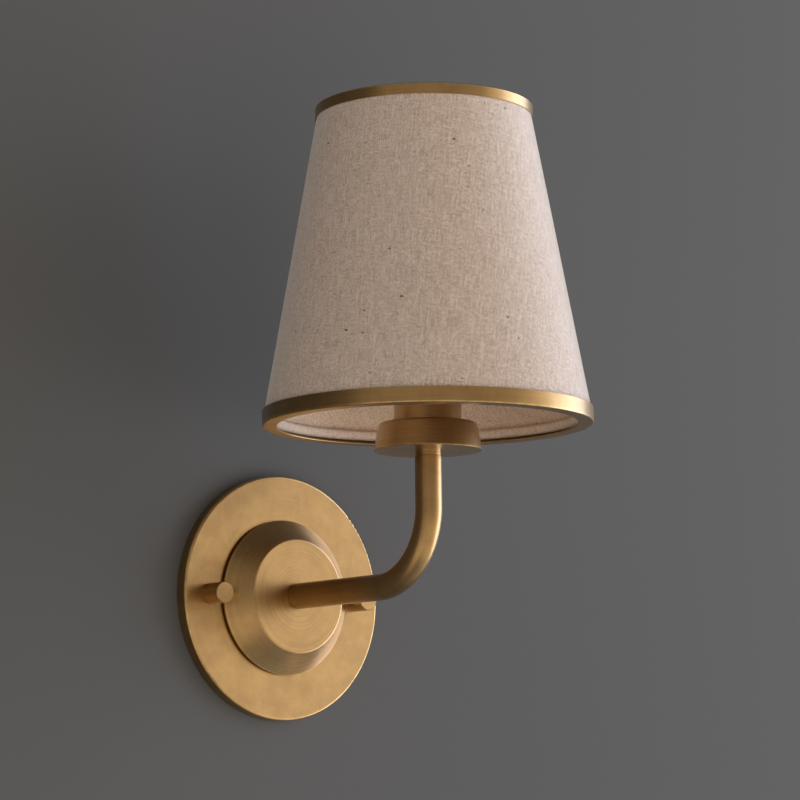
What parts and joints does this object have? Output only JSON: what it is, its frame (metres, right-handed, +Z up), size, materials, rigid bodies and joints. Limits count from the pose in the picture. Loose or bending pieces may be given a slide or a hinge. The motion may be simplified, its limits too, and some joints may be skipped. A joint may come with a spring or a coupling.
{
  "type": "wall light",
  "caption": "Wall light with a round brass backplate, a bent brass arm and a tapered hard-back linen shade with brass rings, on a wall-box mounting plate with cap nuts.",
  "frame": {"origin": "middle of the wall-box screw pattern, on the wall, which is also the middle of the backplate's back", "axes": "+Y into the wall, so the light stands out along -Y; +Z up, along the shade's axis; +X to the right as seen from the room"},
  "size_m": [0.1556, 0.1933, 0.2861],
  "materials": {
    "aged_brass": "aged satin brass",
    "bright_brass": "plain",
    "zinc_steel": "zinc plated",
    "green_screw": "dyed plating",
    "black_phenolic": "moulded",
    "porcelain": "glazed",
    "white_nylon": "moulded",
    "lead_black": "insulation",
    "lead_white": "insulation",
    "lead_green": "insulation",
    "opal_glass": "opal",
    "bulb_collar": "moulded",
    "bulb_cap": "rolled",
    "linen": "natural slub linen",
    "white_liner": "hard liner sheet",
    "white_wire": "powder coat"
  },
  "bodies": {
    "wall_mount": {"mounting_plate": "zinc_steel", "fixture_studs": "zinc_steel", "stud_lock_nuts": "zinc_steel", "mount_earth_screw": "green_screw"},
    "fixture": {"backplate": "aged_brass", "hub": "aged_brass", "hub_screws": "zinc_steel", "arm_tube": "aged_brass", "arm_nipple": "zinc_steel", "arm_lock_washer": "zinc_steel", "arm_nut": "zinc_steel", "earth_lug": "bright_brass", "fitter_cup": "aged_brass", "lamp_nipple": "zinc_steel", "lamp_lock_washer": "zinc_steel", "socket_husk": "aged_brass", "lampholder_base": "black_phenolic", "lampholder_insert": "porcelain", "lampholder_skirt": "black_phenolic", "lampholder_screw_shell": "bright_brass", "lampholder_centre_contact": "bright_brass", "lower_shade_ring": "black_phenolic", "terminal_block": "white_nylon", "terminal_screws": "bright_brass", "lead_live": "lead_black", "lead_neutral": "lead_white", "lead_earth": "lead_green"},
    "left_nut": {"cap_nut_left": "aged_brass"},
    "right_nut": {"cap_nut_right": "aged_brass"},
    "ring_nut": {"shade_ring_nut": "black_phenolic"},
    "bulb": {"bulb_glass": "opal_glass", "bulb_collar": "bulb_collar", "bulb_cap": "bulb_cap", "bulb_tip": "bright_brass"},
    "shade": {"shade_linen_cover": "linen", "shade_liner": "white_liner", "shade_linen_lining": "linen", "shade_hem": "linen", "shade_bottom_ring": "aged_brass", "shade_top_ring": "aged_brass", "shade_bottom_wire": "white_wire", "shade_top_wire": "white_wire", "shade_fitter_ring": "white_wire", "spider_arm_1": "white_wire", "spider_arm_2": "white_wire", "spider_arm_3": "white_wire"}
  },
  "joints": [
    {"name": "fixture_off_wall", "type": "slide", "parent": "wall_mount", "child": "fixture", "axis": [0, -1, 0], "range_m": [0, 0.03]},
    {"name": "left_nut_off", "type": "slide", "parent": "fixture", "child": "left_nut", "axis": [0, -1, 0], "range_m": [0, 0.012]},
    {"name": "right_nut_off", "type": "slide", "parent": "fixture", "child": "right_nut", "axis": [0, -1, 0], "range_m": [0, 0.012]},
    {"name": "ring_nut_loosen", "type": "slide", "parent": "fixture", "child": "ring_nut", "axis": [0, 0, 1], "range_m": [0, 0.005]},
    {"name": "bulb_out", "type": "slide", "parent": "fixture", "child": "bulb", "axis": [0, 0, 1], "range_m": [0, 0.03]},
    {"name": "shade_turn", "type": "hinge", "parent": "fixture", "child": "shade", "pos_m": [0, -0.1155, 0.1], "axis": [0, 0, 1], "continuous": true}
  ]
}
